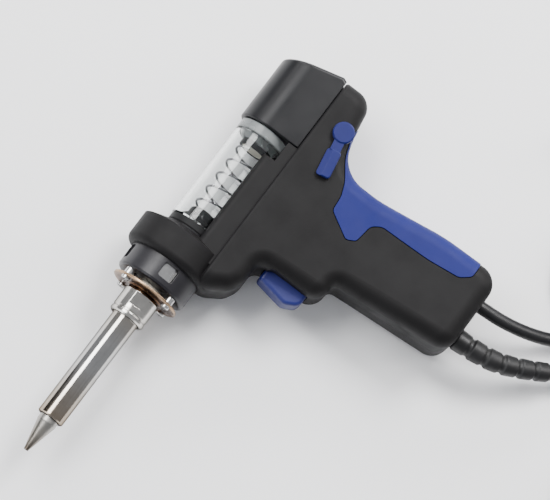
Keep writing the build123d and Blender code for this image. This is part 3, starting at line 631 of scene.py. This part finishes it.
def rounded_loop(width, height, radius, steps=6):
    """Corners of a rounded rectangle, in order round it."""
    made = []
    for quarter, (sx, sy) in enumerate(((1, 1), (-1, 1), (-1, -1), (1, -1))):
        for k in range(steps + 1):
            angle = math.pi / 2 * (quarter + k / steps)
            made.append((sx * (width / 2 - radius) + radius * math.cos(angle),
                         sy * (height / 2 - radius) + radius * math.sin(angle)))
    return made


TIE_CORNER = 3.2                  # the strap bends round the outer cords
TIE_THICK = 0.8
TIE_HALF = 1.8                    # half of the strap's width


def cable_tie(name, centre, radius, turn, materials, node):
    """Flat strap round a coil, with its head outside and the cut end beside it."""
    wide, tall = 3 * CORD_D + 0.4, 2 * CORD_D + 0.4
    inner = rounded_loop(wide, tall, TIE_CORNER)
    outer = rounded_loop(wide + 2 * TIE_THICK, tall + 2 * TIE_THICK, TIE_CORNER + TIE_THICK)
    bm = bmesh.new()
    count = len(inner)
    rings = []
    for loop, y in ((inner, -TIE_HALF), (outer, -TIE_HALF), (outer, TIE_HALF), (inner, TIE_HALF)):
        rings.append([bm.verts.new((x, y, z)) for x, z in loop])
    for ring in range(4):
        for k in range(count):
            a, b = rings[ring], rings[(ring + 1) % 4]
            bm.faces.new((a[k], a[(k + 1) % count], b[(k + 1) % count], b[k]))
    head = bmesh.ops.create_cube(bm, size=1.0)["verts"]
    for vert in head:
        vert.co = Vector((wide / 2 + 1.9 + vert.co.x * 2.2, vert.co.y * 5.0, vert.co.z * 4.0))
    strap = bmesh.ops.create_cube(bm, size=1.0)["verts"]
    for vert in strap:
        vert.co = Vector((wide / 2 + 1.3 + vert.co.x * 0.7, vert.co.y * 3.2, 3.4 + vert.co.z * 4.4))
    bmesh.ops.bevel(bm, geom=[e for e in bm.edges if e.calc_face_angle(0) > 0.7], offset=0.22, segments=2,
                    affect="EDGES", profile=0.6)
    bmesh.ops.recalc_face_normals(bm, faces=bm.faces)
    middle = Matrix.Translation((*centre, COIL_FLOOR + CORD_D))
    swing = Matrix.Rotation(math.radians(turn), 4, "Z")
    bm.transform(Matrix.Scale(MM, 4) @ middle @ swing @ Matrix.Translation((radius, 0.0, 0.0)))
    mesh = bpy.data.meshes.new(name)
    bm.to_mesh(mesh)
    bm.free()
    return new_piece(name, mesh, "tie_black", materials, node)


# ---------------------------------------------------------------------------
# The scene
# ---------------------------------------------------------------------------
def add_lights():
    """Soft boxes round the object, and the dark panel that the metal reflects."""
    right, up, back = view_axes()
    add_light("key", (0.75, -0.1, 0.95), (0.45, 0.45), 17.0)
    add_light("overhead", up * 0.55 + back * 0.9 - right * 0.35, (0.7, 0.5), 13.0)
    add_light("top_strip", up * 1.0 + back * 0.32 + right * 0.1, (1.2, 0.2), 9.0)
    add_light("left_fill", -right * 0.9 + back * 0.45 - up * 0.3, (0.5, 0.9), 6.0, (0.95, 0.97, 1.0))
    add_light("right_rim", right * 0.9 + back * 0.3 + up * 0.2, (0.3, 0.9), 6.0, (1.0, 0.98, 0.96))
    add_flag("flag", [(-0.55, 0.42, 0.03), (-0.55, 0.50, 0.42), (0.0, 0.50, 0.42), (0.0, 0.42, 0.03)])


def build():
    add_camera()
    add_world()
    add_lights()
    add_floor()
    materials = make_materials()
    paint_frame(materials)

    cord_boot = boot(materials)
    cord_tie = cable_tie("power_cord_strap", CORD_COIL_AT, CORD_COIL_R, 140, materials, "power_cord_tie")
    hose_tie = cable_tie("vacuum_hose_strap", HOSE_COIL_AT, HOSE_COIL_R, -80, materials, "vacuum_hose_tie")
    lead("power_lead", power_cord_points(), "cord_black", ("power_cord", "power_cord_coil"),
         materials)
    lead("vacuum_line", vacuum_hose_points(), "hose_black", ("vacuum_hose", "vacuum_hose_coil"),
         materials)


build()
